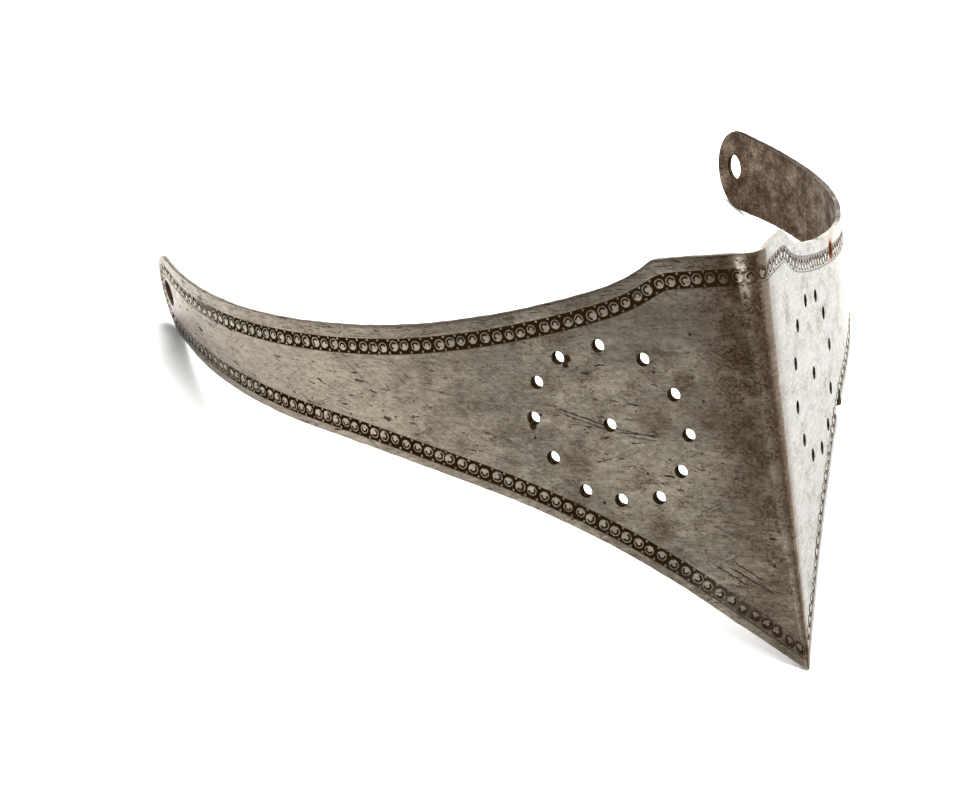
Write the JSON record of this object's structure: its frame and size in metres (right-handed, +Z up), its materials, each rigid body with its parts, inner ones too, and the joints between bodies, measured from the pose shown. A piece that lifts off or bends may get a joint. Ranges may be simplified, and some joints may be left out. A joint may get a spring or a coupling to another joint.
{
  "type": "helmet ventail",
  "caption": "Prow-shaped lower face guard of a close helmet: one forged steel plate with a rounded keel, a ring of breaths in each cheek and arms that wrap back to pivot holes.",
  "frame": {"origin": "on the table, at the middle of the plate's length and width, as it rests on the chin and on both arm ends", "axes": "+Z up from the table, -Y the way the keel faces, +X the wearer's left"},
  "size_m": [0.1938, 0.2233, 0.0991],
  "materials": {
    "steel": "old brushed steel with brown patina, pits and an etched ring border along its edges"
  },
  "bodies": {
    "root": {"face_plate": "steel"}
  },
  "joints": []
}
